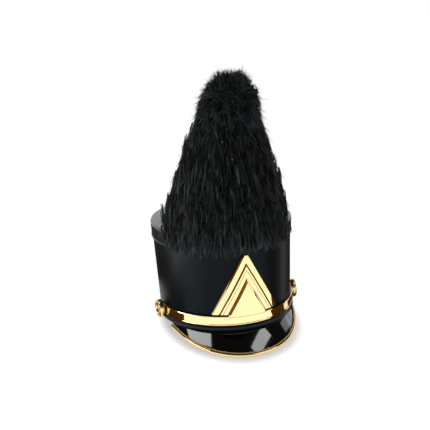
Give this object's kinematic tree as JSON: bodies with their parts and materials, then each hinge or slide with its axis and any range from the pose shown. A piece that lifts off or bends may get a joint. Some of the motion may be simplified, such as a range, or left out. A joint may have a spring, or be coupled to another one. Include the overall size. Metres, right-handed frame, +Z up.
{
  "type": "shako with fur plume",
  "caption": "Black parade shako: oval crown widening upwards, glossy peak edged in gold, gold chin band with side buttons, raised triangular emblem and a tall black fur plume.",
  "frame": {"origin": "on the surface the shako rests on, under the centre of its bounding box", "axes": "+Z up, +X towards the wearer's left, -Y towards the front, where the peak is"},
  "size_m": [0.198, 0.2566, 0.347],
  "materials": {
    "crown_vinyl": "black satin vinyl with a fine grain",
    "trim_vinyl": "black satin vinyl binding",
    "patent": "black patent, mirror gloss",
    "gold_metal": "polished gold-coloured metal",
    "fur": "long black fur with a soft sheen",
    "stem_steel": "plain hidden post"
  },
  "bodies": {
    "root": {"crown_shell": "crown_vinyl", "crown_top": "crown_vinyl", "top_band": "trim_vinyl", "rim_band": "trim_vinyl", "peak": "patent", "peak_edge": "gold_metal", "chin_band": "gold_metal", "button_left": "gold_metal", "button_right": "gold_metal", "emblem": "gold_metal", "plume": "fur", "plume_stem": "stem_steel"}
  },
  "joints": []
}
